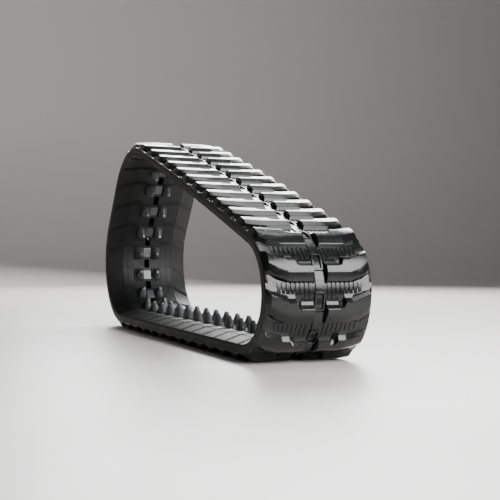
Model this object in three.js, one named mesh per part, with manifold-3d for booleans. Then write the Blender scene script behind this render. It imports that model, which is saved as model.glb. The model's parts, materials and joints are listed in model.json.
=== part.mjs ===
// A 320 x 100 x 38 rubber crawler track (width x pitch x links), standing as a free endless loop.
// Millimetres, +Z up. +X runs along the ground to the large front bend, Y is across the belt.
//
// The belt is laid out along its cord line, the line of the steel cords that never stretches.
// A place on the belt is (s, y, n): s along the cord line, y across, n outward from the cord line.
// s starts where the ground run leaves the rear bend and goes round by the front bend and the top.
import * as THREE from "three";
import { ConvexGeometry } from "three/addons/geometries/ConvexGeometry.js";
import { mergeVertices } from "three/addons/utils/BufferGeometryUtils.js";
import Module from "manifold-3d";

// Driving dimensions
const BELT_WIDTH = 320;
const PITCH = 100;
const LINKS = 38;
const CORD_HEIGHT = 35; // cord line above the ground, which the lug tops touch
const VALLEY_HEIGHT = 16; // outer face of the carcass, between the lugs
const ROLLER_DEPTH = 27; // inner face that the track rollers run on
const FLOOR_EDGE = 144; // y where the floor starts to fall to the side
const ROLLER_EDGE = 96; // y where the inner face starts to slope out to the side
const EDGE_OUTER = 14; // the carcass's two faces at its side edges
const EDGE_INNER = 14;
const WINDOW_HALF = 12; // half the width of the drive windows for the sprocket teeth
const GAP = 0.3; // clearance between the pieces that touch
const SLOT_NEAR = WINDOW_HALF - 2; // a core's slot opens into the window
const BEYOND = 2 * CORD_HEIGHT; // reach of a cutter past both faces of the belt

// The loop: four bends and the runs between them. The crown is the top run, which bows up a little.
const FRONT = { radius: 158, turn: THREE.MathUtils.degToRad(162.5) };
const APEX = { radius: 283, turn: THREE.MathUtils.degToRad(69.6) };
const REAR_RADIUS = 216;
const CROWN_TURN = THREE.MathUtils.degToRad(3);
const REAR_TURN = 2 * Math.PI - FRONT.turn - CROWN_TURN - APEX.turn;

// Drive windows are centred at s = WINDOW_PHASE + any number of pitches, and a core between each two.
const WINDOW_PHASE = -23;
const CORE_FROM_WINDOW = PITCH / 2;
const CORE_SEAT = 22; // half the stretch at each core that the core keeps straight
const GENTLE_TURN = THREE.MathUtils.degToRad(2); // below this turn a pitch is one straight facet

// The belt flexes at four windows, and each stretch between them is one rigid section here.
// first and last count the windows from the one at WINDOW_PHASE.
const SECTIONS = [
  { name: "bottom", first: 0, last: 13 },
  { name: "front", first: 13, last: 17 },
  { name: "top", first: 17, last: 34 },
  { name: "rear", first: 34, last: 38 },
];
const FLEX_GAP = 8; // room that a section's end face leaves to the next one, for the bending

// Core: one forged steel piece, a wing bar with a guide block on it whose two horns stand by a low bridge
const CORE_OUTER = -5; // the core's face towards the cords
const CORE_INNER = -16; // its other face, under the rubber of the roller paths
const WING = { tip: 125, half: 17, tipHalf: 13, step: 1 }; // step: how far its outer face is set back
const GUIDE = { half: 22, foot: 50, bridge: 17, bridgeTop: -25, shoulder: -34 };
const HORN = { near: 22, far: 41, tip: -62 };

// Steel cord band, one each side
const CORD = { near: 62, far: 112, half: 1.5 };

// Tread lug, one each side of every window. t is measured from the window along the belt.
const LUG = {
  inner: 20, // y of its inner end
  kink: 92, // y where it turns forward
  end: 148, // y of the outer end of its top face
  foot: 158, // y where its end slope meets the belt's edge
  front: 0, // t of its top face's front edge
  back: -29, // t of its top face's back edge
  shoulder: -52, // t where its back slope ends, over a short step
  frontFlank: 24, // run of its front flank, down to the floor
  step: 3, // run of the step at its back
  drop: 8, // how far its back slope falls
  crown: 3, // how much lower its outer end is
  sweep: 18, // how far its outer end is set forward
  cut: 8, // how much shorter its outer end is at the back
};
const LUG_ROOT = 3; // how deep it is bedded in the carcass

const RUBBER = new THREE.MeshStandardMaterial({ color: 0x1d1e20, roughness: 0.42, metalness: 0 });
const FORGING = new THREE.MeshStandardMaterial({ color: 0x2b2c2e, roughness: 0.5, metalness: 0.6 });
const WIRE = new THREE.MeshStandardMaterial({ color: 0x8b8e92, roughness: 0.35, metalness: 1 });

const wasm = await Module();
wasm.setup();

// Cord line

// The cord line's runs in order, each with its length and its curvature. The three free lengths, of the
// ground run, the crown and the rear wall, are the ones that close the loop at LINKS x PITCH.
function cordRuns() {
  const heading = [0, FRONT.turn, FRONT.turn + CROWN_TURN, FRONT.turn + CROWN_TURN + APEX.turn];
  const arc = (from, turn, radius) =>
    new THREE.Vector2(Math.sin(from + turn) - Math.sin(from), Math.cos(from) - Math.cos(from + turn))
      .multiplyScalar(radius);
  const bends = arc(heading[0], FRONT.turn, FRONT.radius)
    .add(arc(heading[2], APEX.turn, APEX.radius))
    .add(arc(heading[3], REAR_TURN, REAR_RADIUS));
  const crownChord = Math.sin(CROWN_TURN / 2) / (CROWN_TURN / 2);
  const crown = heading[1] + CROWN_TURN / 2;
  const bendLength = FRONT.radius * FRONT.turn + APEX.radius * APEX.turn + REAR_RADIUS * REAR_TURN;
  const closing = new THREE.Matrix3().set(
    1, crownChord * Math.cos(crown), Math.cos(heading[3]),
    0, crownChord * Math.sin(crown), Math.sin(heading[3]),
    1, 1, 1,
  );
  const free = new THREE.Vector3(-bends.x, -bends.y, LINKS * PITCH - bendLength)
    .applyMatrix3(closing.invert());
  return [
    { length: free.x, curvature: 0 },
    { length: FRONT.radius * FRONT.turn, curvature: 1 / FRONT.radius },
    { length: free.y, curvature: CROWN_TURN / free.y },
    { length: APEX.radius * APEX.turn, curvature: 1 / APEX.radius },
    { length: free.z, curvature: 0 },
    { length: REAR_RADIUS * REAR_TURN, curvature: 1 / REAR_RADIUS },
  ];
}

const RUNS = cordRuns();

// The cord line at s: a point in the XZ plane and the heading, in radians from +X towards +Z.
function cordAt(s) {
  let rest = THREE.MathUtils.euclideanModulo(s, LINKS * PITCH);
  const here = { x: 0, z: CORD_HEIGHT, heading: 0 };
  for (const { length, curvature } of RUNS) {
    const step = Math.min(rest, length);
    const next = here.heading + step * curvature;
    if (curvature === 0) {
      here.x += step * Math.cos(next);
      here.z += step * Math.sin(next);
    } else {
      here.x += (Math.sin(next) - Math.sin(here.heading)) / curvature;
      here.z += (Math.cos(here.heading) - Math.cos(next)) / curvature;
    }
    here.heading = next;
    rest -= step;
    if (rest <= 0) break;
  }
  return here;
}

// A belt place in the loop's own space. Frames are {x, z, heading}, along is a shift along the heading.
function place(frame, y, n, along = 0) {
  const ahead = new THREE.Vector3(Math.cos(frame.heading), 0, Math.sin(frame.heading));
  const outward = new THREE.Vector3(Math.sin(frame.heading), 0, -Math.cos(frame.heading));
  return new THREE.Vector3(frame.x, y, frame.z)
    .addScaledVector(ahead, along)
    .addScaledVector(outward, n);
}

const windowAt = (index) => WINDOW_PHASE + index * PITCH;
const coreAt = (index) => windowAt(index) + CORE_FROM_WINDOW;

// A core's frame lies on the chord of its seat, so that the straight core fits the facet round it.
function coreFrame(index) {
  const from = cordAt(coreAt(index) - CORE_SEAT);
  const to = cordAt(coreAt(index) + CORE_SEAT);
  return {
    x: (from.x + to.x) / 2,
    z: (from.z + to.z) / 2,
    heading: Math.atan2(to.z - from.z, to.x - from.x),
  };
}

// Solids

function solid(geometry) {
  const bare = geometry.clone();
  bare.deleteAttribute("normal");
  bare.deleteAttribute("uv");
  const merged = mergeVertices(bare, 1e-4);
  return new wasm.Manifold(
    new wasm.Mesh({
      numProp: 3,
      vertProperties: new Float32Array(merged.attributes.position.array),
      triVerts: new Uint32Array(merged.index.array),
    }),
  );
}

function meshOf(name, body, material) {
  const { vertProperties, triVerts } = body.getMesh();
  const geometry = new THREE.BufferGeometry();
  geometry.setAttribute("position", new THREE.BufferAttribute(vertProperties, 3));
  geometry.setIndex(new THREE.BufferAttribute(triVerts, 1));
  geometry.computeVertexNormals();
  const mesh = new THREE.Mesh(geometry, material);
  mesh.name = name;
  return mesh;
}

const hull = (points) => solid(new ConvexGeometry(points));

// A block in a frame: each level has its n, and its reach along (from, to) and across (near, far).
function block(frame, side, levels) {
  return hull(
    levels.flatMap(({ n, from, to, near, far }) =>
      [from, to].flatMap((along) => [near, far].map((y) => place(frame, side * y, n, along))),
    ),
  );
}

// The places along a section where its facets meet.
function stations(section) {
  const list = [windowAt(section.first)];
  for (let index = section.first; index < section.last; index += 1) {
    const turn = cordAt(windowAt(index + 1)).heading - cordAt(windowAt(index)).heading;
    if (turn > GENTLE_TURN) list.push(coreAt(index) - CORE_SEAT, coreAt(index) + CORE_SEAT);
    list.push(windowAt(index + 1));
  }
  return list;
}

// A cross-section of points [y, n], swept along a section of the belt.
function sweep(section, outline, side) {
  const layers = stations(section);
  const shape = new THREE.Shape(outline.map(([y, n]) => new THREE.Vector2(n, side * y)));
  const steps = layers.length - 1;
  const geometry = new THREE.ExtrudeGeometry(shape, { depth: steps, steps, bevelEnabled: false });
  const position = geometry.attributes.position;
  for (let i = 0; i < position.count; i += 1) {
    const layer = layers[Math.round(position.getZ(i))];
    const point = place(cordAt(layer), position.getY(i), position.getX(i));
    position.setXYZ(i, point.x, point.y, point.z);
  }
  return solid(geometry);
}

// Cuts what reaches past a section's ends, and half of the flex gap with it.
function trim(section, body, side) {
  let kept = body;
  for (const [index, away] of [[section.first, -1], [section.last, 1]]) {
    const face = (-away * FLEX_GAP) / 2;
    const past = { from: face, to: away * PITCH, near: 0, far: BELT_WIDTH };
    const cutter = block(cordAt(windowAt(index)), side, [
      { n: -BEYOND, ...past },
      { n: BEYOND, ...past },
    ]);
    kept = kept.subtract(cutter);
  }
  return kept;
}

// Rubber

const CARCASS = [
  [WINDOW_HALF, VALLEY_HEIGHT],
  [FLOOR_EDGE, VALLEY_HEIGHT],
  [BELT_WIDTH / 2, EDGE_OUTER],
  [BELT_WIDTH / 2, -EDGE_INNER],
  [ROLLER_EDGE, -ROLLER_DEPTH],
  [WINDOW_HALF, -ROLLER_DEPTH],
];
const cordOutline = (spare) => [
  [CORD.near - spare, CORD.half + spare],
  [CORD.far + spare, CORD.half + spare],
  [CORD.far + spare, -CORD.half - spare],
  [CORD.near - spare, -CORD.half - spare],
];

// One lug, as two blocks that run into each other: the straight bar and its swept outer end.
function lug(index, side) {
  const at = (t, y, n) => place(cordAt(windowAt(index) + t), side * y, n);
  const root = VALLEY_HEIGHT - LUG_ROOT;
  const edge = (y) => [
    at(LUG.front, y, CORD_HEIGHT),
    at(LUG.back, y, CORD_HEIGHT),
    at(LUG.shoulder, y, CORD_HEIGHT - LUG.drop),
    at(LUG.shoulder - LUG.step, y, root),
    at(LUG.front + LUG.frontFlank, y, root),
  ];
  const endTop = CORD_HEIGHT - LUG.crown;
  const endBack = LUG.shoulder + LUG.sweep + LUG.cut;
  const end = [
    at(LUG.front + LUG.sweep, LUG.end, endTop),
    at(LUG.back + LUG.sweep, LUG.end, endTop),
    at(endBack, LUG.end, endTop - LUG.drop),
    at(endBack - LUG.step, LUG.foot, root),
    at(LUG.front + LUG.frontFlank + LUG.sweep, LUG.foot, root),
  ];
  return hull([...edge(LUG.inner), ...edge(LUG.kink)]).add(hull([...edge(LUG.kink), ...end]));
}

// The room that a core needs in the rubber: a slot for its wing, and a well for its guide block.
function corePocket(index, side) {
  const slot = (half, far, inner) =>
    block(coreFrame(index), side, [
      { n: CORE_OUTER + GAP, from: -half, to: half, near: SLOT_NEAR, far },
      { n: inner, from: -half, to: half, near: SLOT_NEAR, far },
    ]);
  const well = slot(GUIDE.half + GAP, GUIDE.foot + GAP, -BEYOND);
  return well.add(slot(WING.half + GAP, WING.tip + GAP, CORE_INNER - GAP));
}

// Half of a section's rubber, with its lugs. The lug over each flex window is shared by two sections.
function rubber(section, side) {
  let body = sweep(section, CARCASS, side);
  for (let index = section.first; index <= section.last; index += 1)
    body = body.add(lug(index, side));
  for (let index = section.first; index < section.last; index += 1)
    body = body.subtract(corePocket(index, side));
  return trim(section, body.subtract(sweep(section, cordOutline(GAP), side)), side);
}

// Steel core

function core(index) {
  const frame = coreFrame(index);
  const wing = hull(
    [CORE_OUTER - WING.step, CORE_INNER].flatMap((n) => [
      ...[-GUIDE.foot, GUIDE.foot].flatMap((y) => [-1, 1].map((way) => place(frame, y, n, way * WING.half))),
      ...[-WING.tip, WING.tip].flatMap((y) => [-1, 1].map((way) => place(frame, y, n, way * WING.tipHalf))),
    ]),
  );
  const halfOutline = [
    [GUIDE.bridge, GUIDE.bridgeTop],
    [HORN.near, HORN.tip],
    [HORN.far, HORN.tip],
    [GUIDE.foot, GUIDE.shoulder],
    [GUIDE.foot, CORE_OUTER],
  ];
  const outline = [...halfOutline, ...halfOutline.map(([y, n]) => [-y, n]).reverse()];
  const shape = new THREE.Shape(outline.map(([y, n]) => new THREE.Vector2(n, y)));
  const guide = new THREE.ExtrudeGeometry(shape, { depth: 2, steps: 1, bevelEnabled: false });
  const position = guide.attributes.position;
  for (let i = 0; i < position.count; i += 1) {
    const along = (position.getZ(i) - 1) * GUIDE.half;
    const point = place(frame, position.getY(i), position.getX(i), along);
    position.setXYZ(i, point.x, point.y, point.z);
  }
  return wing.add(solid(guide));
}

// Assembly

const SIDES = [
  ["left", 1],
  ["right", -1],
];
const track = new THREE.Group();
for (const section of SECTIONS) {
  for (const [hand, side] of SIDES) {
    track.add(meshOf(`rubber_${section.name}_${hand}`, rubber(section, side), RUBBER));
    const cord = trim(section, sweep(section, cordOutline(0), side), side);
    track.add(meshOf(`cord_${section.name}_${hand}`, cord, WIRE));
  }
}
for (let index = 0; index < LINKS; index += 1) {
  const number = String(index + 1).padStart(2, "0");
  track.add(meshOf(`core_${number}`, core(index), FORGING));
}

// The origin is on the ground, at the middle of the loop's length.
const box = new THREE.Box3().setFromObject(track);
track.position.x = -(box.min.x + box.max.x) / 2;

export default track;
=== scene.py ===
"""Rubber track of a small excavator: one endless moulded belt with a lug pair beside every drive
window, steel guide cores standing inside the loop, and two bands of steel cord in the rubber.

Belt places are (along, across, out): along the travel direction from a drive window, across the belt
from its middle, and outwards from the cord line. The belt is moulded flat and then bent to the loop.
"""

import json
import math

import bmesh
import bpy
from bpy.props import FloatProperty, FloatVectorProperty, IntProperty, PointerProperty
from mathutils import Matrix, Vector


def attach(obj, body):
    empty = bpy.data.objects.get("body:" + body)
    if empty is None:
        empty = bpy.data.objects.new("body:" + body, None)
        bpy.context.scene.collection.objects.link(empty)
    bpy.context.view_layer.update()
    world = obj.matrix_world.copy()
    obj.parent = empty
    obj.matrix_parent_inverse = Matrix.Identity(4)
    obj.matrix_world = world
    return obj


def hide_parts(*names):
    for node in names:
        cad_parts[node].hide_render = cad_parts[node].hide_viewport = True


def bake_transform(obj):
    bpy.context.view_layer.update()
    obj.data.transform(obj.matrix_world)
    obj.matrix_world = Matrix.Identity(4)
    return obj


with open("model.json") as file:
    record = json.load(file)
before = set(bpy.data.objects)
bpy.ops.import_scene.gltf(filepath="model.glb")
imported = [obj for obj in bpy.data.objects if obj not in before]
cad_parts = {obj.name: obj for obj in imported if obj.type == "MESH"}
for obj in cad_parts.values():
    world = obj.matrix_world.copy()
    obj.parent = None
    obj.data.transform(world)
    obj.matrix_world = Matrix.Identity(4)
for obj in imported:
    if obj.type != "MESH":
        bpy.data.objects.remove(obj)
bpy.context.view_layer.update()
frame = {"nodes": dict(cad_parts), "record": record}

bl_info = {
    "name": "Rubber Track",
    "version": (1, 0, 0),
    "blender": (4, 5, 0),
    "location": "3D View > Sidebar > Rubber Track",
    "description": "Moulds a rubber excavator track with its guide cores, cords and a plain stage",
    "category": "Object",
}

MM = 0.001
TOUCHING = 1e-6  # points nearer than this are one point
BELT_PLACE = "belt_place"  # the attribute that keeps each point's flat belt place


# Sizes and colours


def length(name, default, description, **more):
    return FloatProperty(
        name=name, description=description, default=default, unit="LENGTH", subtype="DISTANCE", **more
    )


def share(name, default, description):
    return FloatProperty(
        name=name, description=description, default=default, min=0.0, max=1.0, subtype="FACTOR"
    )


def angle(name, default, description):
    return FloatProperty(
        name=name, description=description, default=default, unit="ROTATION", subtype="ANGLE"
    )


def colour(name, default, description):
    return FloatVectorProperty(
        name=name, description=description, default=default, size=3, min=0.0, max=1.0, subtype="COLOR"
    )


class TrackBelt(bpy.types.PropertyGroup):
    """Sizes of the loop and of the belt's cross-section"""

    links: IntProperty(name="Links", description="Pitches round the belt", default=38, min=20)
    pitch: length("Pitch", 0.1, "Distance from one drive window to the next along the cords")
    floor: length("Tread floor", 0.016, "From the cord line out to the floor between the lugs")
    path: length("Roller path", 0.027, "From the cord line in to the roller path")
    cord_height: length("Cord height", 0.035, "From the ground up to the cord line")
    front_radius: length("Front radius", 0.158, "Cord line radius at the front bend")
    front_turn: angle("Front turn", math.radians(162.5), "How far the belt turns at the front")
    apex_radius: length("Apex radius", 0.283, "Cord line radius over the apex")
    apex_turn: angle("Apex turn", math.radians(69.6), "How far the belt turns over the apex")
    rear_radius: length("Rear radius", 0.216, "Cord line radius at the rear bend")
    crown_turn: angle("Crown turn", math.radians(3.0), "How far the sloping top run bows")
    first_window: length("First window", -0.023, "Place of window 0 from the start of the ground run")
    start: length("Loop start", -0.593132, "Where the ground run begins on the X axis")
    facet: angle("Facet", math.radians(3.0), "Turn between two rows of points on a bend")


class TrackTread(bpy.types.PropertyGroup):
    """Sizes of the lugs, ribs, pads and drive windows"""

    height: length("Lug top", 0.035, "From the cord line out to the lug's face")
    window_half_width: length("Window half width", 0.010, "Half of the drive window across the belt")
    window_half_length: length("Window half length", 0.019, "Half of the drive window along the belt")
    rib_count: IntProperty(name="Ribs", description="Ribs on each half's tread floor", default=8, min=1)
    rib_spacing: length("Rib spacing", 0.0133, "Distance from one tread rib to the next")
    rib_width: length("Rib width", 0.0112, "Width of a tread rib at its foot")
    rib_height: length("Rib height", 0.0023, "How far the tread ribs stand out of the floor")
    first_rib: length("First rib", 0.0270, "Distance of the innermost rib from the middle")
    pad_half_width: length("Pad half width", 0.014, "Half width of the pads between the windows")
    pad_height: length("Pad height", 0.0034, "How far the middle pads stand out of the floor")


class TrackGuide(bpy.types.PropertyGroup):
    """Sizes of the steel guide cores"""

    outer: length("Core outer face", -0.006, "The wing bar's face towards the cords")
    inner: length("Core inner face", -0.016, "The wing bar's face towards the rollers")
    wing_reach: length("Wing reach", 0.125, "From the middle to the wing's tip")
    foot: length("Horn foot", 0.050, "From the middle to the horn's outer foot")
    near: length("Horn near", 0.022, "From the middle to the horn's inner face")
    far: length("Horn far", 0.040, "From the middle to the horn's outer face at its tip")
    half_length: length("Horn half length", 0.025, "Half of the horn's foot along the belt")
    tip_half_length: length("Tip half length", 0.0052, "Half of the horn's tip along the belt")
    tip: length("Horn tip", -0.0625, "From the cord line in to the horn's tip")
    bridge: length("Bridge top", -0.026, "From the cord line in to the low bridge's top")


class TrackLook(bpy.types.PropertyGroup):
    """Colours and finishes"""

    rubber: colour("Rubber", (0.0050, 0.0052, 0.0055), "Fresh moulded rubber")
    bloom: colour("Bloom", (0.014, 0.0143, 0.0147), "Grey bloom and scuffs on the rubber")
    dust: colour("Dust", (0.075, 0.070, 0.063), "Dry dust on the floor and in the corners")
    gloss: share("Rubber roughness", 0.20, "Roughness of the clean rubber")
    steel: colour("Steel", (0.17, 0.173, 0.178), "Dark scale on the forged cores")
    bright: colour("Bright steel", (0.32, 0.32, 0.33), "Rubbed bright steel")
    cord: colour("Cord", (0.48, 0.44, 0.36), "Brass-washed steel cord")
    stage: colour("Stage", (0.62, 0.60, 0.585), "The pale floor")


# The cord line


class CordLine:
    """The loop of the steel cords: three free runs and three bends, with its places and headings."""

    def __init__(self, belt):
        self.loop = belt.links * belt.pitch
        self.start = belt.start
        self.height = belt.cord_height
        turns = (belt.front_turn, belt.crown_turn, belt.apex_turn)
        heading = [sum(turns[:count]) for count in range(4)]
        rear_turn = 2 * math.pi - heading[3]
        arcs = (
            (heading[0], belt.front_turn, belt.front_radius),
            (heading[2], belt.apex_turn, belt.apex_radius),
            (heading[3], rear_turn, belt.rear_radius),
        )
        bends_x = sum(r * (math.sin(a + turn) - math.sin(a)) for a, turn, r in arcs)
        bends_z = sum(r * (math.cos(a) - math.cos(a + turn)) for a, turn, r in arcs)
        bends = sum(r * turn for _, turn, r in arcs)
        crown = heading[1] + belt.crown_turn / 2
        chord = math.sin(belt.crown_turn / 2) / (belt.crown_turn / 2)
        closing = Matrix((
            (1, chord * math.cos(crown), math.cos(heading[3])),
            (0, chord * math.sin(crown), math.sin(heading[3])),
            (1, 1, 1),
        ))
        free = closing.inverted() @ Vector((-bends_x, -bends_z, self.loop - bends))
        lengths = (
            (free[0], 0.0),
            (belt.front_radius * belt.front_turn, 1 / belt.front_radius),
            (free[1], belt.crown_turn / free[1]),
            (belt.apex_radius * belt.apex_turn, 1 / belt.apex_radius),
            (free[2], 0.0),
            (belt.rear_radius * rear_turn, 1 / belt.rear_radius),
        )
        self.runs = []
        x, z, turned, begun = self.start, self.height, 0.0, 0.0
        for run, curvature in lengths:
            self.runs.append((begun, begun + run, curvature, x, z, turned))
            x, z, turned = self.along(x, z, turned, curvature, run)
            begun += run

    @staticmethod
    def along(x, z, heading, curvature, step):
        """The place and heading a step further along a run."""
        after = heading + step * curvature
        if curvature == 0:
            return x + step * math.cos(after), z + step * math.sin(after), after
        return (
            x + (math.sin(after) - math.sin(heading)) / curvature,
            z + (math.cos(heading) - math.cos(after)) / curvature,
            after,
        )

    def at(self, s):
        """X, Z and heading of the cord line at s."""
        s %= self.loop
        for begin, end, curvature, x, z, heading in self.runs:
            if s <= end:
                return self.along(x, z, heading, curvature, s - begin)
        return self.start, self.height, 0.0

    def place(self, s, across, out):
        """A belt place in the object's own space."""
        x, z, heading = self.at(s)
        return Vector((x + out * math.sin(heading), across, z - out * math.cos(heading)))

    def turn(self, start, end):
        """How far the belt turns between two places, which lie less than a whole loop apart."""
        return (self.at(end)[2] - self.at(start)[2]) % (2 * math.pi)


def window_at(belt, index):
    return belt.first_window + index * belt.pitch


# Flat mould: every part of one pitch, in (along, across, out), with a drive window at its middle


def stack(shape, rings, open_ends=False):
    """One solid through rings of (along, across, out) places in mm, each joined to the next."""
    loops = []
    for ring in rings:
        verts = [shape.verts.new(Vector(place) * MM) for place in ring]
        loops.append((verts, [shape.edges.new((verts[k - 1], verts[k])) for k in range(len(verts))]))
    for (_, near), (_, far) in zip(loops, loops[1:]):
        bmesh.ops.bridge_loops(shape, edges=near + far)
    if not open_ends:
        for verts, _ in (loops[0], loops[-1]):
            shape.faces.new(verts)
    return [edges for _, edges in loops]


def soften(shape, edges, offset, segments):
    bmesh.ops.bevel(
        shape,
        geom=edges,
        offset=offset,
        offset_type="OFFSET",
        segments=segments,
        profile=0.5,
        affect="EDGES",
        clamp_overlap=True,
        material=-1,
    )


def cut(shape, at, normal):
    bmesh.ops.bisect_plane(
        shape,
        geom=shape.verts[:] + shape.edges[:] + shape.faces[:],
        plane_co=at,
        plane_no=normal,
        dist=TOUCHING,
    )


def outward(shape):
    bmesh.ops.recalc_face_normals(shape, faces=shape.faces[:])


def add_other_half(shape):
    """Adds the mirror image of everything, across the belt's middle."""
    bmesh.ops.mirror(
        shape,
        geom=shape.verts[:] + shape.edges[:] + shape.faces[:],
        matrix=Matrix.Identity(4),
        merge_dist=-1,
        axis="Y",
    )
    outward(shape)


# Half of the cross-section, as (across, out) in mm, from the tread side's middle round to the roller side
SECTION = (
    (10, 16), (20, 16), (60, 16), (118, 16), (146, 16), (154, 15.2), (158.6, 13.2), (160, 10.4),
    (160, 2.6), (160.8, 2.1), (160.8, 0.9), (160, 0.4), (160, -9.5), (159, -12.6), (155.5, -14.6),
    (128, -20.4), (99.6, -26.2), (98.6, -27.9), (95.8, -27.9), (94.8, -26.9), (81.2, -26.9),
    (80.4, -26.2), (79.6, -26.2), (78.8, -26.9), (53, -26.9), (51, -25.8), (30, -25.6), (10, -25.6),
)


def carcass(belt, tread):
    """The belt's body for one pitch, open at both ends, with the drive window through it."""
    shape = bmesh.new()
    half = belt.pitch / 2
    outline = SECTION + tuple((-across, out) for across, out in reversed(SECTION))
    reach = half / MM
    stack(shape, [[(along, *place) for place in outline] for along in (-reach, reach)], open_ends=True)
    for side in (-1, 1):
        cut(shape, (side * tread.window_half_length, 0, 0), (1, 0, 0))
    middle = [
        face
        for face in shape.faces
        if abs(face.calc_center_median().x) < tread.window_half_length
        and abs(face.calc_center_median().y) < tread.window_half_width
    ]
    bmesh.ops.delete(shape, geom=middle, context="FACES_ONLY")
    rim = [
        edge
        for edge in shape.edges
        if edge.is_boundary and all(abs(vert.co.x) < half - 1e-5 for vert in edge.verts)
    ]
    walls = bmesh.ops.bridge_loops(shape, edges=rim)["faces"]
    deep = belt.path / 2
    corners = {
        edge
        for face in walls
        for edge in face.edges
        if abs(edge.verts[0].co.z - edge.verts[1].co.z) > deep
    }
    soften(shape, list(corners), 4 * MM, 3)
    outward(shape)
    return shape


# A lug's sections across the belt. Each gives, in mm: its place across, the along places of its front
# foot, front edge, back edge, shoulder and back foot, and how far its face and shoulder stand out.
LUG_SECTIONS = (
    (17.2, 13.0, 2.0, -44.0, -54.0, -56.5, 17.0, 16.4),
    (18.4, 11.0, -13.0, -31.0, -52.6, -55.5, 31.0, 25.0),
    (20.4, 10.0, -16.0, -29.0, -52.0, -55.0, 35.0, 27.0),
    (55.0, 10.0, -16.0, -29.0, -52.0, -55.0, 35.0, 27.0),
    (57.5, 2.0, -15.0, -29.0, -52.0, -55.0, 35.0, 27.0),
    (61.5, -4.0, -14.0, -29.0, -52.0, -55.0, 35.0, 27.0),
    (67.5, -3.0, -12.0, -29.0, -52.0, -55.0, 35.0, 27.0),
    (70.5, 6.0, -5.0, -29.0, -52.0, -55.0, 35.0, 27.0),
    (73.5, 24.0, 0.0, -29.0, -52.0, -55.0, 35.0, 27.0),
    (92.0, 24.0, 0.0, -29.0, -52.0, -55.0, 35.0, 27.0),
    (98.0, 26.0, 2.0, -27.5, -49.5, -52.5, 34.5, 26.6),
    (128.0, 35.0, 12.0, -18.0, -40.0, -44.0, 33.6, 26.0),
    (147.0, 42.0, 18.0, -8.0, -27.0, -33.0, 32.2, 25.0),
    (148.6, 42.6, 19.2, -7.0, -26.0, -32.0, 30.6, 24.0),
    (157.6, 46.0, 27.0, -3.0, -24.0, -30.0, 16.4, 15.2),
)


def lug(belt, tread):
    """One lug: a scooped front flank, a flat face, a gentle back slope and a short step down."""
    shape = bmesh.new()
    floor = belt.floor / MM
    under = floor - 3
    rings = []
    for across, front, edge, back, shoulder, foot, top, ledge in LUG_SECTIONS:
        top = top * tread.height / MM / 35
        rise = max(top - floor, 0.2)
        run = front - edge
        step = max(ledge - floor, 0.1)
        profile = (
            (front + 1.5, under),
            (front + 1.0, floor),
            (edge + run * 0.62, floor + rise * 0.07),
            (edge + run * 0.36, floor + rise * 0.27),
            (edge + run * 0.17, floor + rise * 0.62),
            (edge + run * 0.075, top - rise * 0.13),
            (edge + run * 0.01, top - rise * 0.03),
            (edge - 2.2, top),
            (back + 2.5, top),
            (back - 2.5, top - (top - ledge) * 0.11),
            (shoulder + 2.4, ledge + (top - ledge) * 0.09),
            (shoulder + 0.6, ledge - step * 0.03),
            (shoulder - 0.5, ledge - step * 0.16),
            (foot + 0.3, floor + step * 0.16),
            (foot - 1.4, floor),
            (foot - 2.0, under),
        )
        rings.append([(along, across, out) for along, out in profile])
    stack(shape, rings)
    outward(shape)
    return shape


def bar(shape, path, width, height):
    """A low ridge along a path of (along, across, out) places in mm, its crown narrower than its foot."""
    rings = []
    for index, place in enumerate(path):
        near = Vector(path[max(index - 1, 0)])
        far = Vector(path[min(index + 1, len(path) - 1)])
        run = far - near
        aside = Vector((-run.y, run.x, 0)).normalized()
        lift = Vector((0, 0, height))
        foot = Vector(place)
        low = aside * width / 2
        mid = aside * width * 0.46 + lift * 0.72
        crown = aside * width * 0.36 + lift
        sides = (low - lift * 0.6, mid, crown, lift - (crown - lift), lift * 1.44 - mid, -low - lift * 0.6)
        rings.append([foot + side for side in sides])
    stack(shape, rings)


def tread_ribs(belt, tread):
    """The straight ribs on the floor between two lugs, which run on into the lug's notch."""
    shape = bmesh.new()
    floor = belt.floor / MM
    notch = 55
    for count in range(tread.rib_count):
        across = (tread.first_rib + count * tread.rib_spacing) / MM
        begin = 7 if across < notch - 4 else 19
        path = [(begin, across, floor), (47, across, floor)]
        bar(shape, path, tread.rib_width / MM, tread.rib_height / MM)
    for shift in (0, 5):
        path = [(44 + shift, 128, floor), (54 + shift, 143, floor), (58 + shift, 156, floor - 1.2)]
        bar(shape, path, 1.4, 1.0)
    outward(shape)
    return shape


def middle_pads(belt, tread):
    """The pad strip between two windows and the raised rim round the window."""
    shape = bmesh.new()
    floor = belt.floor / MM
    half = tread.pad_half_width / MM
    lift = tread.pad_height / MM
    reach = belt.pitch / 2 / MM
    for begin, end in ((-reach - 0.5, -26), (26, reach)):
        ring = [(begin, -half), (begin, half), (end, half), (end, -half)]
        levels = stack(shape, [
            [(along, across, floor - 1) for along, across in ring],
            [(along, across * 0.95, floor + lift) for along, across in ring],
        ])
        soften(shape, levels[1], 0.8 * MM, 2)
    rim_in = (tread.window_half_length / MM + 0.4, tread.window_half_width / MM + 0.4)
    rim_out = (rim_in[0] + 4.2, rim_in[1] + 4.8)
    levels = ((rim_in, -1.0), (rim_in, lift + 0.6), (rim_out, lift + 0.6), (rim_out, -1.0))
    rings = []
    for (along, across), out in levels:
        rings.append(rounded_ring(along, across, 5, floor + out))
    stack(shape, rings + rings[:1], open_ends=True)
    bmesh.ops.remove_doubles(shape, verts=shape.verts[:], dist=TOUCHING)
    crown = [
        edge
        for edge in shape.edges
        if all(abs(vert.co.z / MM - floor - lift - 0.6) < 1e-3 for vert in edge.verts)
        and len(edge.link_faces) == 2
        and edge.calc_face_angle(0) > 1
    ]
    soften(shape, crown, 1.0 * MM, 2)
    outward(shape)
    return shape


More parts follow.
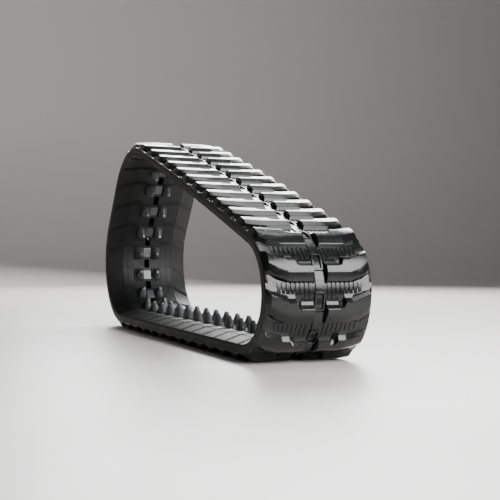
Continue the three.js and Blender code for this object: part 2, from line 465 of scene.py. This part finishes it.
def rounded_ring(along, across, corner, out):
    """A rectangle with rounded corners, as (along, across, out) places in mm."""
    ring = []
    for quarter in range(4):
        side_x = 1 if quarter in (0, 3) else -1
        side_y = 1 if quarter in (0, 1) else -1
        for step in range(4):
            turn = math.pi / 2 * (quarter + step / 3)
            ring.append((
                side_x * (along - corner) + corner * math.cos(turn),
                side_y * (across - corner) + corner * math.sin(turn),
                out,
            ))
    return ring


def path_lines(belt):
    """The fine triple lines across the roller path, which lean forward over the shoulder."""
    shape = bmesh.new()
    path = belt.path / MM
    for shift in (-6.5, 0, 6.5):
        begin = 11 + shift
        bar(
            shape,
            [(begin, 54, -path), (begin, 94, -path - 0.6), (begin + 38, 156, -14.4)],
            1.7,
            -1.3,
        )
    outward(shape)
    return shape


def horn_collar(belt, guide):
    """The rubber collar that rises round the foot of one guide horn."""
    shape = bmesh.new()
    path = belt.path / MM
    half = guide.half_length / MM
    near = guide.near / MM - 5
    far = guide.foot / MM + 2
    middle = belt.pitch / 2 / MM
    rings = []
    for grow, out in ((4.5, -path + 2), (3.6, -path - 0.8), (1.4, -path - 3.4), (-3, -path - 4.2)):
        ring = rounded_ring(half + grow, (far - near) / 2 + grow * 0.6, 7, out)
        rings.append([(along + middle, across + (near + far) / 2, out) for along, across, out in ring])
    stack(shape, rings)
    outward(shape)
    return shape


def pitch_mould(belt, tread, guide):
    """Everything moulded in one pitch, flat, as one mesh."""
    whole = bmesh.new()
    parts = [carcass(belt, tread), middle_pads(belt, tread)]
    for half in (lug(belt, tread), tread_ribs(belt, tread), path_lines(belt), horn_collar(belt, guide)):
        add_other_half(half)
        parts.append(half)
    for part in parts:
        mesh = bpy.data.meshes.new("part")
        part.to_mesh(mesh)
        part.free()
        whole.from_mesh(mesh)
        bpy.data.meshes.remove(mesh)
    mould = bpy.data.meshes.new("pitch")
    whole.to_mesh(mould)
    whole.free()
    return mould


# Bending the mould round the loop


def bent_pitch(mould, line, belt, index, keep=None):
    """One pitch of the belt, bent round window index.

    keep is -1 or 1 to keep only its rear or front half, short of the middle by OPEN_GAP.
    """
    shape = bmesh.new()
    shape.from_mesh(mould)
    here = window_at(belt, index)
    if keep:
        bmesh.ops.bisect_plane(
            shape,
            geom=shape.verts[:] + shape.edges[:] + shape.faces[:],
            plane_co=(keep * OPEN_GAP, 0, 0),
            plane_no=(keep, 0, 0),
            dist=TOUCHING,
            clear_inner=True,
        )
        ends = [
            edge
            for edge in shape.edges
            if edge.is_boundary and all(abs(vert.co.x - keep * OPEN_GAP) < TOUCHING for vert in edge.verts)
        ]
        bmesh.ops.edgeloop_fill(shape, edges=ends)
    half = belt.pitch / 2
    turn = line.turn(here - half, here + half)
    rows = max(int(round(turn / belt.facet)), 1)
    for row in range(1, rows):
        cut(shape, (-half + belt.pitch * row / rows, 0, 0), (1, 0, 0))
    kept = shape.verts.layers.float_vector.new(BELT_PLACE)
    for vert in shape.verts:
        along, across, out = vert.co
        vert[kept] = (here + along, across, out)
        vert.co = line.place(here + along, across, out)
    bmesh.ops.reverse_faces(shape, faces=shape.faces[:])
    mesh = bpy.data.meshes.new("bent")
    shape.to_mesh(mesh)
    shape.free()
    return mesh


def finished(name, mesh, material, crease=math.radians(34)):
    """Puts a finished mesh into the scene, shaded smooth up to its creases."""
    mesh.name = name
    mesh.materials.append(material)
    mesh.polygons.foreach_set("use_smooth", [True] * len(mesh.polygons))
    mesh.set_sharp_from_angle(angle=crease)
    piece = bpy.data.objects.new(name, mesh)
    bpy.context.scene.collection.objects.link(piece)
    weighted = piece.modifiers.new("Shading", "WEIGHTED_NORMAL")
    weighted.keep_sharp = True
    weighted.weight = 60
    return piece


def belt_piece(name, mould, line, belt, windows, material, keep=None):
    """A stretch of the belt round the given windows, welded from pitch to pitch and closed at its ends."""
    shape = bmesh.new()
    for index in windows:
        part = bent_pitch(mould, line, belt, index, keep)
        shape.from_mesh(part)
        bpy.data.meshes.remove(part)
    seams = [vert for vert in shape.verts if any(edge.is_boundary for edge in vert.link_edges)]
    bmesh.ops.remove_doubles(shape, verts=seams, dist=2e-5)
    open_edges = [edge for edge in shape.edges if edge.is_boundary]
    if open_edges:
        bmesh.ops.edgeloop_fill(shape, edges=open_edges)
    mesh = bpy.data.meshes.new(name)
    shape.to_mesh(mesh)
    shape.free()
    return finished(name, mesh, material)


def guide_core(guide):
    """One steel core, flat: a wing bar, a low bridge and two horns with rounded corners."""
    whole = bmesh.new()
    outer, inner = guide.outer / MM, guide.inner / MM
    tip = guide.wing_reach / MM
    foot = guide.foot / MM
    rings = []
    for across, half in ((-tip, 12.5), (-foot, 16.5), (foot, 16.5), (tip, 12.5)):
        ring = [(-half, across, outer), (half, across, outer), (half, across, inner), (-half, across, inner)]
        rings.append(ring)
    stack(whole, rings)
    soften(whole, whole.edges[:], 1.4 * MM, 2)

    bridge = bmesh.new()
    near = guide.near / MM
    top = guide.bridge / MM
    levels = (
        (20, near + 6, inner + 3),
        (20, near + 6, top + 2),
        (18.6, near + 5, top + 0.5),
        (16, near + 4, top),
    )
    stack(bridge, [rounded_ring(along, across, 4, out) for along, across, out in levels])

    horn = bmesh.new()
    half, tip_half = guide.half_length / MM, guide.tip_half_length / MM
    far, end = guide.far / MM, guide.tip / MM
    rings = []
    # share of the way up to the tip, share of the length drawn in, share of the width drawn in
    for up, drawn, thinned in ((0, 0.10, 0), (0.14, 0, 0.05), (0.30, 0.06, 0.18), (0.48, 0.30, 0.42),
                               (0.66, 0.62, 0.66), (0.82, 0.86, 0.86), (0.93, 1.0, 1.0),
                               (0.98, 1.16, 1.2), (1.0, 1.36, 1.5)):
        along = half + (tip_half - half) * drawn
        inside = near - 2 + 6 * thinned
        outside = foot + (far - foot) * thinned
        out = inner - 6 + (end - inner + 6) * up
        wide = (outside - inside) / 2
        ring = rounded_ring(along, wide, min(along, wide) - 0.6, out)
        rings.append([(x, y + (outside + inside) / 2, z) for x, y, z in ring])
    stack(horn, rings)
    add_other_half(horn)

    for part in (bridge, horn):
        mesh = bpy.data.meshes.new("part")
        part.to_mesh(mesh)
        part.free()
        whole.from_mesh(mesh)
        bpy.data.meshes.remove(mesh)
    outward(whole)
    return whole


CORE_SEAT = 0.022  # half of the stretch that each core keeps straight


def core_piece(name, shape, line, belt, index, material):
    """Seats a copy of the straight core on the chord between window index and the next."""
    middle = window_at(belt, index) + belt.pitch / 2
    before, after = line.place(middle - CORE_SEAT, 0, 0), line.place(middle + CORE_SEAT, 0, 0)
    ahead = (after - before).normalized()
    out = Vector((ahead.z, 0, -ahead.x))
    origin = (before + after) / 2
    core = shape.copy()
    kept = core.verts.layers.float_vector.new(BELT_PLACE)
    for vert in core.verts:
        along, across, height = vert.co
        vert[kept] = (middle + along, across, height)
        vert.co = origin + ahead * along + Vector((0, across, 0)) + out * height
    bmesh.ops.reverse_faces(core, faces=core.faces[:])
    mesh = bpy.data.meshes.new(name)
    core.to_mesh(mesh)
    core.free()
    return finished(name, mesh, material)


# Materials


class Wire:
    """A number on its way between shader nodes, so that shader maths reads as arithmetic."""

    def __init__(self, look, socket):
        self.look = look
        self.socket = socket

    def _with(self, operation, first, second):
        return self.look.number("ShaderNodeMath", {"operation": operation}, {0: first, 1: second})

    def __add__(self, other):
        return self._with("ADD", self, other)

    def __sub__(self, other):
        return self._with("SUBTRACT", self, other)

    def __rsub__(self, other):
        return self._with("SUBTRACT", other, self)

    def __mul__(self, other):
        return self._with("MULTIPLY", self, other)

    __radd__ = __add__
    __rmul__ = __mul__


class Look:
    """A material in the making: its nodes, its patterns and its Principled shader."""

    def __init__(self, name):
        self.material = bpy.data.materials.new(name)
        self.material.use_nodes = True
        self.tree = self.material.node_tree
        self.shader = self.tree.nodes["Principled BSDF"]
        self.point = self.node("ShaderNodeTexCoord").outputs["Object"]

    def node(self, kind, settings=None, inputs=None):
        """Adds a node: its settings first, then the values or links of its sockets."""
        made = self.tree.nodes.new(kind)
        for key, value in (settings or {}).items():
            if key == "stops":
                ramp = made.color_ramp
                while len(ramp.elements) < len(value):
                    ramp.elements.new(0.5)
                for stop, (position, shade) in zip(ramp.elements, value):
                    stop.position = position
                    stop.color = (shade, shade, shade, 1)
            else:
                setattr(made, key, value)
        for key, value in (inputs or {}).items():
            self.put(made.inputs[key], value)
        return made

    def put(self, socket, value):
        """Links a wire or a socket into a socket, or sets its value."""
        if isinstance(value, Wire):
            value = value.socket
        if isinstance(value, bpy.types.NodeSocket):
            self.tree.links.new(value, socket)
        elif socket.type == "RGBA" and len(value) == 3:
            socket.default_value = (*value, 1)
        else:
            socket.default_value = value

    def number(self, kind, settings=None, inputs=None, output=0):
        return Wire(self, self.node(kind, settings, inputs).outputs[output])

    def stretched(self, vector, scale):
        return self.node("ShaderNodeMapping", None, {"Vector": vector, "Scale": scale}).outputs[0]

    def noise(self, scale, detail=4.0, roughness=0.55, vector=None):
        return self.number("ShaderNodeTexNoise", None, {
            "Vector": vector or self.point, "Scale": scale, "Detail": detail, "Roughness": roughness,
        })

    def range(self, value, low, high, start=0.0, end=1.0):
        return self.number("ShaderNodeMapRange", {"interpolation_type": "SMOOTHSTEP"}, {
            "Value": value, "From Min": low, "From Max": high, "To Min": start, "To Max": end,
        })

    def mixed(self, factor, first, second):
        return self.node("ShaderNodeMix", {"data_type": "RGBA"}, {0: factor, 6: first, 7: second}).outputs[2]

    def bump(self, height, distance, strength=1.0, under=None):
        made = self.node("ShaderNodeBump", None, {
            "Height": height, "Distance": distance, "Strength": strength,
        })
        if under is not None:
            self.put(made.inputs["Normal"], under)
        return made.outputs[0]

    def finish(self, base, roughness, normal=None, **constants):
        self.put(self.shader.inputs["Base Color"], base)
        self.put(self.shader.inputs["Roughness"], roughness)
        if normal is not None:
            self.put(self.shader.inputs["Normal"], normal)
        for key, value in constants.items():
            self.put(self.shader.inputs[key.replace("_", " ")], value)
        return self.material


def moulded_rubber(tones):
    """Near-black moulded rubber: satin, faintly mottled, with scuffed lug faces and a little dust."""
    look = Look("moulded_rubber")
    place = look.node("ShaderNodeAttribute", {"attribute_name": BELT_PLACE}).outputs["Vector"]
    places = look.node("ShaderNodeSeparateXYZ", None, {0: place}).outputs
    out = Wire(look, places[2])
    reach = look.number("ShaderNodeMath", {"operation": "ABSOLUTE"}, {0: places[1]})
    mottle = look.noise(9, 5, 0.6)
    patch = look.noise(38, 4, 0.6)
    grain = look.noise(520, 3, 0.6)
    flow = look.noise(1.0, 5, 0.6, look.stretched(place, (14, 240, 40)))
    face = look.range(out, 0.030, 0.0345)
    ground = look.range(out, 0.0155, 0.0105) * look.range(out, 0.0, 0.006)
    path = look.range(out, -0.0262, -0.0269)
    inside = look.range(out, -0.004, -0.014)
    band = look.range(reach, 0.1575, 0.1595)
    scuff = look.range(flow, 0.52, 0.72) * face
    dusty = look.range(patch * 0.6 + mottle * 0.4, 0.50, 0.66) * ground
    rubbed = look.range(flow, 0.45, 0.7) * path
    base = look.mixed(mottle * 0.30 + scuff * 0.30 + rubbed * 0.25, tones.rubber, tones.bloom)
    base = look.mixed(dusty * 0.35, base, tones.dust)
    roughness = (mottle - 0.5) * 0.16 + (patch - 0.5) * 0.14 + tones.gloss + scuff * 0.10 + dusty * 0.16
    roughness = roughness + inside * 0.34 + band * 0.34
    fine = look.bump(grain, 0.00012)
    normal = look.bump(flow, 0.0002, 0.6, fine)
    return look.finish(base, roughness, normal, Specular_IOR_Level=0.40)


def forged_steel(tones):
    """Dark forged steel with scale, rubbed bright in patches towards the horn tips."""
    look = Look("forged_steel")
    place = look.node("ShaderNodeAttribute", {"attribute_name": BELT_PLACE}).outputs["Vector"]
    out = look.number("ShaderNodeSeparateXYZ", None, {0: place}, 2)
    scale = look.noise(60, 5, 0.62)
    pits = look.noise(420, 3, 0.6)
    strokes = look.noise(1.0, 4, 0.6, look.stretched(place, (60, 900, 900)))
    tip = look.range(out, -0.048, -0.061)
    rubbed = look.range(scale * 0.5 + strokes * 0.5, 0.46, 0.62) * tip
    base = look.mixed(rubbed * 0.7, look.mixed(scale * 0.5 + 0.5, tones.rubber, tones.steel), tones.bright)
    roughness = scale * 0.22 + 0.26 - rubbed * 0.08
    normal = look.bump(pits, 0.00018, 0.8, look.bump(strokes, 0.00008))
    return look.finish(base, roughness, normal, Metallic=0.55)


def brass_washed_cord(tones):
    """Steel cords laid side by side: fine ropes with their strands' twist."""
    look = Look("steel_cord")
    ropes = look.number("ShaderNodeTexWave", {"bands_direction": "Y"}, {"Vector": look.point, "Scale": 160})
    twist = look.noise(1.0, 3, 0.5, look.stretched(look.point, (900, 320, 900)))
    stain = look.noise(30, 4, 0.6)
    base = look.mixed(look.range(stain, 0.4, 0.7), tones.cord, tones.bright)
    base = look.mixed(look.range(ropes, 0.25, 0.0) * 0.7, base, tones.rubber)
    normal = look.bump(twist, 0.0002, 0.7, look.bump(ropes, 0.0009))
    return look.finish(base, 0.28 + twist * 0.2, normal, Metallic=1.0)


def pale_floor(tones):
    """Plain pale floor with the faintest trowel variation."""
    look = Look("pale_floor")
    cloud = look.noise(1.6, 4, 0.5)
    shade = look.mixed(cloud * 0.3, tones.stage, [tone * 0.86 for tone in tones.stage])
    return look.finish(shade, 0.34 + cloud * 0.1, Specular_IOR_Level=0.5)


# Pieces

# The windows of each stretch that stays stiff, and of each pitch between two bodies, with the bodies it lies
# between
STIFF = (("bottom", range(1, 13)), ("front", range(14, 17)), ("top", range(18, 34)), ("rear", range(35, 38)))
BENDING = ((0, "rear", "bottom"), (13, "bottom", "front"), (17, "front", "top"))
OPEN_PITCH = 34
OPEN_GAP = 0.0012  # half of the slit between the two ends at the open pitch
BEND_REACH = 0.035


def rubber_nodes(body):
    return [f"rubber_{body}_{side}" for side in ("left", "right")]


class TRACK_OT_rubber(bpy.types.Operator):
    """Mould the rubber belt and bend it round the loop"""

    bl_idname = "track.rubber"
    bl_label = "Rubber belt"

    def execute(self, context):
        scene = context.scene
        belt, tread, guide = scene.track_belt, scene.track_tread, scene.track_guide
        line = CordLine(belt)
        mould = pitch_mould(belt, tread, guide)
        rubber = moulded_rubber(scene.track_look)
        for body, windows in STIFF:
            piece = belt_piece(f"belt_{body}", mould, line, belt, windows, rubber)
            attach(piece, body)
            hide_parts(*rubber_nodes(body))
        for window, before, after in BENDING:
            piece = belt_piece(f"belt_bend_{before}_{after}", mould, line, belt, [window], rubber)
            here = window_at(belt, window)
            start = line.place(here - BEND_REACH, 0, 0)
            end = line.place(here + BEND_REACH, 0, 0)
            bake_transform(piece)
        for keep, body in ((-1, "top"), (1, "rear")):
            piece = belt_piece(f"belt_end_{body}", mould, line, belt, [OPEN_PITCH], rubber, keep)
            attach(piece, body)
        bpy.data.meshes.remove(mould)
        return {"FINISHED"}


class TRACK_OT_cores(bpy.types.Operator):
    """Forge the guide cores and seat them between the drive windows"""

    bl_idname = "track.cores"
    bl_label = "Guide cores"

    def execute(self, context):
        scene = context.scene
        belt = scene.track_belt
        line = CordLine(belt)
        steel = forged_steel(scene.track_look)
        shape = guide_core(scene.track_guide)
        for index in range(belt.links):
            node = f"core_{index + 1:02d}"
            piece = core_piece(f"guide_{node}", shape, line, belt, index, steel)
            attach(piece, body_of(node))
            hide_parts(node)
        shape.free()
        return {"FINISHED"}


def body_of(node):
    groups = frame["record"]["behaviour"]["bodies"]
    return next(body for body, nodes in groups.items() if node in nodes)


class TRACK_OT_cords(bpy.types.Operator):
    """Give the steel cord bands in the rubber their finish"""

    bl_idname = "track.cords"
    bl_label = "Steel cords"

    def execute(self, context):
        wire = brass_washed_cord(context.scene.track_look)
        bands = [band for name, band in frame["nodes"].items() if name.startswith("cord_")]
        if not bands:
            raise RuntimeError("the frame has no cord bands")
        for band in bands:
            band.data.materials.clear()
            band.data.materials.append(wire)
        return {"FINISHED"}


def soft_box(name, place, aim, size, watts):
    """A rectangular soft light at a place, aimed at a point."""
    light = bpy.data.lights.new(name, "AREA")
    light.shape = "RECTANGLE"
    light.size, light.size_y = size
    light.energy = watts
    lamp = bpy.data.objects.new(name, light)
    lamp.location = place
    lamp.rotation_euler = (Vector(aim) - Vector(place)).to_track_quat("-Z", "Y").to_euler()
    bpy.context.scene.collection.objects.link(lamp)


class TRACK_OT_stage(bpy.types.Operator):
    """Set the pale floor, the soft studio light and the camera"""

    bl_idname = "track.stage"
    bl_label = "Stage"

    def execute(self, context):
        scene = context.scene
        sweep = bmesh.new()
        half = 9.0
        rise = [(14, 0), (-4.2, 0), (-5.0, 0.12), (-5.6, 0.55), (-5.9, 1.3), (-6.0, 2.6), (-6.0, 6)]
        near = [sweep.verts.new((x, -half, z)) for x, z in rise]
        edges = [sweep.edges.new(pair) for pair in zip(near, near[1:])]
        drawn = bmesh.ops.extrude_edge_only(sweep, edges=edges)["geom"]
        bmesh.ops.translate(
            sweep, vec=(0, 2 * half, 0), verts=[v for v in drawn if isinstance(v, bmesh.types.BMVert)]
        )
        outward(sweep)
        mesh = bpy.data.meshes.new("stage_floor")
        sweep.to_mesh(mesh)
        sweep.free()
        mesh.polygons.foreach_set("use_smooth", [True] * len(mesh.polygons))
        mesh.materials.append(pale_floor(scene.track_look))
        floor = bpy.data.objects.new("stage_floor", mesh)
        scene.collection.objects.link(floor)

        soft_box("front_high_box", (3.2, 1.3, 1.9), (0.7, 0, 0.25), (2.2, 2.4), 260)
        soft_box("rear_high_box", (-3.0, 1.6, 2.3), (0, 0, 0.5), (3.6, 2.0), 420)
        soft_box("overhead_box", (0.2, 0.5, 3.4), (0, 0, 0.4), (2.4, 1.6), 60)

        world = bpy.data.worlds.new("studio")
        world.use_nodes = True
        world.node_tree.nodes["Background"].inputs[0].default_value = (0.78, 0.8, 0.82, 1)
        world.node_tree.nodes["Background"].inputs[1].default_value = 0.05
        scene.world = world

        place_camera(scene)
        return {"FINISHED"}


def place_camera(scene):
    """The camera stands in front of the low front bend, a little to the near side."""
    data = bpy.data.cameras.new("camera")
    data.lens = 81.4
    data.sensor_width = 36
    camera = bpy.data.objects.new("camera", data)
    yaw, down, roll = math.radians(21.98), math.radians(0.665), math.radians(0.48)
    view = Vector((-math.cos(yaw) * math.cos(down), math.sin(yaw) * math.cos(down), -math.sin(down)))
    right = view.cross(Vector((0, 0, 1))).normalized()
    up = right.cross(view)
    right, up = (
        right * math.cos(roll) + up * math.sin(roll),
        up * math.cos(roll) - right * math.sin(roll),
    )
    turn = Matrix((right, up, -view)).transposed().to_4x4()
    camera.matrix_world = Matrix.Translation((3.5723, -1.3121, 0.3475)) @ turn
    scene.collection.objects.link(camera)
    scene.camera = camera


class TRACK_PT_panel(bpy.types.Panel):
    """Sizes, colours and pieces of the rubber track"""

    bl_idname = "TRACK_PT_panel"
    bl_label = "Rubber track"
    bl_space_type = "VIEW_3D"
    bl_region_type = "UI"
    bl_category = "Rubber Track"

    def draw(self, context):
        layout = self.layout
        for title, group, operators in (
            ("Belt", "track_belt", (TRACK_OT_rubber,)),
            ("Tread", "track_tread", ()),
            ("Guides", "track_guide", (TRACK_OT_cores, TRACK_OT_cords)),
            ("Looks", "track_look", (TRACK_OT_stage,)),
        ):
            box = layout.box()
            box.label(text=title)
            settings = getattr(context.scene, group)
            for key in settings.__annotations__:
                box.prop(settings, key)
            for operator in operators:
                box.operator(operator.bl_idname)


GROUPS = {
    "track_belt": TrackBelt,
    "track_tread": TrackTread,
    "track_guide": TrackGuide,
    "track_look": TrackLook,
}
CLASSES = (TRACK_OT_rubber, TRACK_OT_cores, TRACK_OT_cords, TRACK_OT_stage, TRACK_PT_panel)


def register():
    for name, group in GROUPS.items():
        bpy.utils.register_class(group)
        setattr(bpy.types.Scene, name, PointerProperty(type=group))
    for made in CLASSES:
        bpy.utils.register_class(made)


def unregister():
    for made in reversed(CLASSES):
        bpy.utils.unregister_class(made)
    for name, group in reversed(GROUPS.items()):
        delattr(bpy.types.Scene, name)
        bpy.utils.unregister_class(group)


def main():
    register()
    bpy.ops.track.stage()
    bpy.ops.track.rubber()
    bpy.ops.track.cores()
    bpy.ops.track.cords()


if __name__ == "__main__":
    main()
